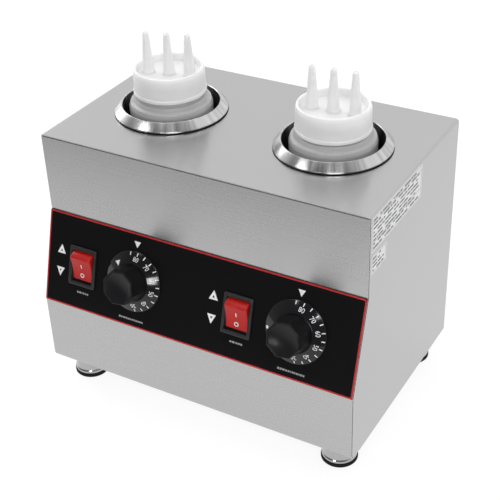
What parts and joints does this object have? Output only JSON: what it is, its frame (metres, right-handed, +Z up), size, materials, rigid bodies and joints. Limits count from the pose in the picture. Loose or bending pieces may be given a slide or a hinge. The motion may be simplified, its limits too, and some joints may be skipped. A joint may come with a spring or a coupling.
{
  "type": "nacho cheese dispenser",
  "caption": "Countertop sauce warmer: a steel cabinet with heated wells that hold lift-out squeeze bottles with screw-on nozzle caps, each with a rocker switch and a dial.",
  "frame": {"origin": "on the counter, under the middle of the object's box", "axes": "+Z up; +Y to the back, so the sloping control panel faces -Y; +X to the right as seen from the front"},
  "size_m": [0.32, 0.2437, 0.3287],
  "materials": {
    "brushed_stainless": "brushed",
    "dark_cup": "dark, hard anodised",
    "polished_stainless": "polished",
    "glossy_black_plastic": "glossy",
    "black_plastic": "satin",
    "black_rubber": "matt",
    "milky_plastic": "translucent white, softly shining",
    "red_plastic": "glossy",
    "mica_band": "satin",
    "copper": "satin",
    "grey_plastic": "satin",
    "white_plastic": "satin",
    "lead_insulation": "satin"
  },
  "bodies": {
    "cabinet": {"outer_shell": "brushed_stainless", "front_panel": "brushed_stainless", "control_overlay": "glossy_black_plastic", "base_plate": "brushed_stainless", "rear_cover": "brushed_stainless", "rear_screw_low_left": "polished_stainless", "rear_screw_low_right": "polished_stainless", "rear_screw_middle_left": "polished_stainless", "rear_screw_middle_right": "polished_stainless", "rear_screw_high_left": "polished_stainless", "rear_screw_high_right": "polished_stainless", "cable_gland": "black_plastic", "gland_locknut": "black_plastic", "terminal_block": "white_plastic", "well_left": "dark_cup", "well_right": "dark_cup", "collar_ring_left": "polished_stainless", "collar_ring_right": "polished_stainless", "collar_gasket_left": "black_rubber", "collar_gasket_right": "black_rubber", "heater_band_left": "mica_band", "heater_band_right": "mica_band", "band_bolt_left": "polished_stainless", "band_bolt_right": "polished_stainless", "switch_case_left": "black_plastic", "switch_case_right": "black_plastic", "thermostat_body_left": "grey_plastic", "thermostat_body_right": "grey_plastic", "sensor_bulb_left": "copper", "sensor_bulb_right": "copper", "capillary_left": "copper", "capillary_right": "copper", "switch_lead_left": "lead_insulation", "switch_lead_right": "lead_insulation", "foot_cup_front_left": "polished_stainless", "foot_cup_front_right": "polished_stainless", "foot_cup_rear_left": "polished_stainless", "foot_cup_rear_right": "polished_stainless", "foot_pad_front_left": "black_rubber", "foot_pad_front_right": "black_rubber", "foot_pad_rear_left": "black_rubber", "foot_pad_rear_right": "black_rubber", "foot_nut_front_left": "polished_stainless", "foot_nut_front_right": "polished_stainless", "foot_nut_rear_left": "polished_stainless", "foot_nut_rear_right": "polished_stainless"},
    "rocker_left": {"rocker_left": "red_plastic"},
    "knob_left": {"temperature_knob_left": "glossy_black_plastic", "thermostat_shaft_left": "polished_stainless"},
    "bottle_left": {"bottle_left": "milky_plastic"},
    "seal_left": {"cap_seal_left": "milky_plastic"},
    "cap_left": {"nozzle_cap_left": "milky_plastic"},
    "rocker_right": {"rocker_right": "red_plastic"},
    "knob_right": {"temperature_knob_right": "glossy_black_plastic", "thermostat_shaft_right": "polished_stainless"},
    "bottle_right": {"bottle_right": "milky_plastic"},
    "seal_right": {"cap_seal_right": "milky_plastic"},
    "cap_right": {"nozzle_cap_right": "milky_plastic"}
  },
  "joints": [
    {"name": "rocker_left_press", "type": "hinge", "parent": "cabinet", "child": "rocker_left", "pos_m": [-0.1191, -0.08805, 0.13276], "axis": [-1, 0, 0], "range_deg": [0, 35.2]},
    {"name": "knob_left_turn", "type": "hinge", "parent": "cabinet", "child": "knob_left", "pos_m": [-0.0625, -0.09136, 0.13564], "axis": [0, -0.9572, 0.2894], "range_deg": [-10, 260]},
    {"name": "bottle_left_lift", "type": "slide", "parent": "cabinet", "child": "bottle_left", "axis": [0, 0, 1], "range_m": [0, 0.22]},
    {"name": "cap_left_rise", "type": "slide", "parent": "bottle_left", "child": "seal_left", "axis": [0, 0, 1], "range_m": [-0.00221, 0.00406]},
    {"name": "cap_left_turn", "type": "hinge", "parent": "seal_left", "child": "cap_left", "pos_m": [-0.0822, 0.01575, 0.285], "axis": [0, 0, 1], "range_deg": [-158.4, 291.6]},
    {"name": "rocker_right_press", "type": "hinge", "parent": "cabinet", "child": "rocker_right", "pos_m": [0.0453, -0.08805, 0.13276], "axis": [-1, 0, 0], "range_deg": [0, 35.2]},
    {"name": "knob_right_turn", "type": "hinge", "parent": "cabinet", "child": "knob_right", "pos_m": [0.1019, -0.09136, 0.13564], "axis": [0, -0.9572, 0.2894], "range_deg": [-6, 264]},
    {"name": "bottle_right_lift", "type": "slide", "parent": "cabinet", "child": "bottle_right", "axis": [0, 0, 1], "range_m": [0, 0.22]},
    {"name": "cap_right_rise", "type": "slide", "parent": "bottle_right", "child": "seal_right", "axis": [0, 0, 1], "range_m": [0, 0.00626]},
    {"name": "cap_right_turn", "type": "hinge", "parent": "seal_right", "child": "cap_right", "pos_m": [0.0822, 0.01575, 0.285], "axis": [0, 0, 1], "range_deg": [0, 450]}
  ],
  "couplings": [
    {"joint": "cap_left_rise", "follows": "cap_left_turn", "m_per_rad": 0.00079577},
    {"joint": "cap_right_rise", "follows": "cap_right_turn", "m_per_rad": 0.00079577}
  ]
}
